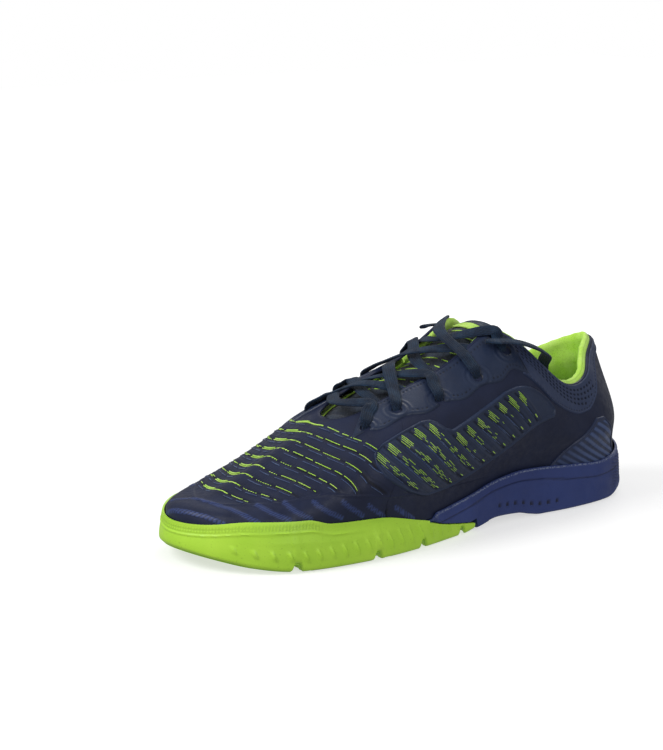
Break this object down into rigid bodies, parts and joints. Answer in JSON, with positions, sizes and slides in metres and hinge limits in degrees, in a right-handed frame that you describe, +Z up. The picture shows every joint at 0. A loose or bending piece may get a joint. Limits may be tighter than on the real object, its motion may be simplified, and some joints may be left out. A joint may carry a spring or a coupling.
{
  "type": "court shoe",
  "caption": "Low-cut left indoor court shoe with a cupped rubber outsole, foam midsole, laced synthetic upper, padded collar and a tongue that folds in.",
  "frame": {"origin": "bottom centre of the shoe's bounding box, on the floor that the tread rests on", "axes": "+Z up, -Y towards the toe, +Y towards the heel, +X towards the outer (lateral) side of the left foot"},
  "size_m": [0.1048, 0.298, 0.1035],
  "materials": {
    "lime_rubber": "moulded satin rubber",
    "black_rubber": "moulded matte rubber",
    "heel_rubber": "moulded matte rubber",
    "blue_foam": "moulded EVA foam skin",
    "fibre_board": "pressed fibre insole board",
    "sockliner_cloth": "knit-topped foam sockliner",
    "navy_synthetic": "coated synthetic with fine grain",
    "stiffener": "thermoplastic stiffener",
    "lime_mesh": "brushed knit lining",
    "padding_foam": "open-cell padding foam",
    "navy_film": "welded smooth film",
    "ribbed_film": "ribbed film over woven base",
    "perforated_navy": "perforated synthetic",
    "navy_mesh": "woven mesh",
    "lime_webbing": "ribbed webbing",
    "navy_lace": "flat woven polyester lace",
    "aglet_film": "heat-shrunk film"
  },
  "bodies": {
    "shoe": {"outsole_forefoot": "lime_rubber", "outsole_pivot_insert": "black_rubber", "outsole_heel": "heel_rubber", "midsole": "blue_foam", "strobel_board": "fibre_board", "sockliner": "sockliner_cloth", "vamp": "navy_synthetic", "quarter_lateral": "navy_synthetic", "quarter_medial": "navy_synthetic", "toe_puff": "stiffener", "heel_counter": "stiffener", "vamp_lining": "lime_mesh", "collar_foam": "padding_foam", "collar_lining": "lime_mesh", "eyestay_lateral": "navy_film", "eyestay_medial": "navy_film", "side_window_lateral": "ribbed_film", "side_window_medial": "ribbed_film", "heel_overlay_lateral": "navy_film", "heel_overlay_medial": "navy_film", "collar_panel": "perforated_navy", "lace": "navy_lace", "lace_end_lateral": "navy_lace", "lace_end_medial": "navy_lace", "aglet_lateral": "aglet_film", "aglet_medial": "aglet_film"},
    "tongue": {"tongue_face": "navy_mesh", "tongue_foam": "padding_foam", "tongue_lining": "lime_mesh", "lace_keeper": "lime_webbing"}
  },
  "joints": [
    {"name": "tongue_fold", "type": "hinge", "parent": "shoe", "child": "tongue", "pos_m": [0, -0.05, 0.066], "axis": [-1, 0, 0], "range_deg": [0, 12]}
  ]
}
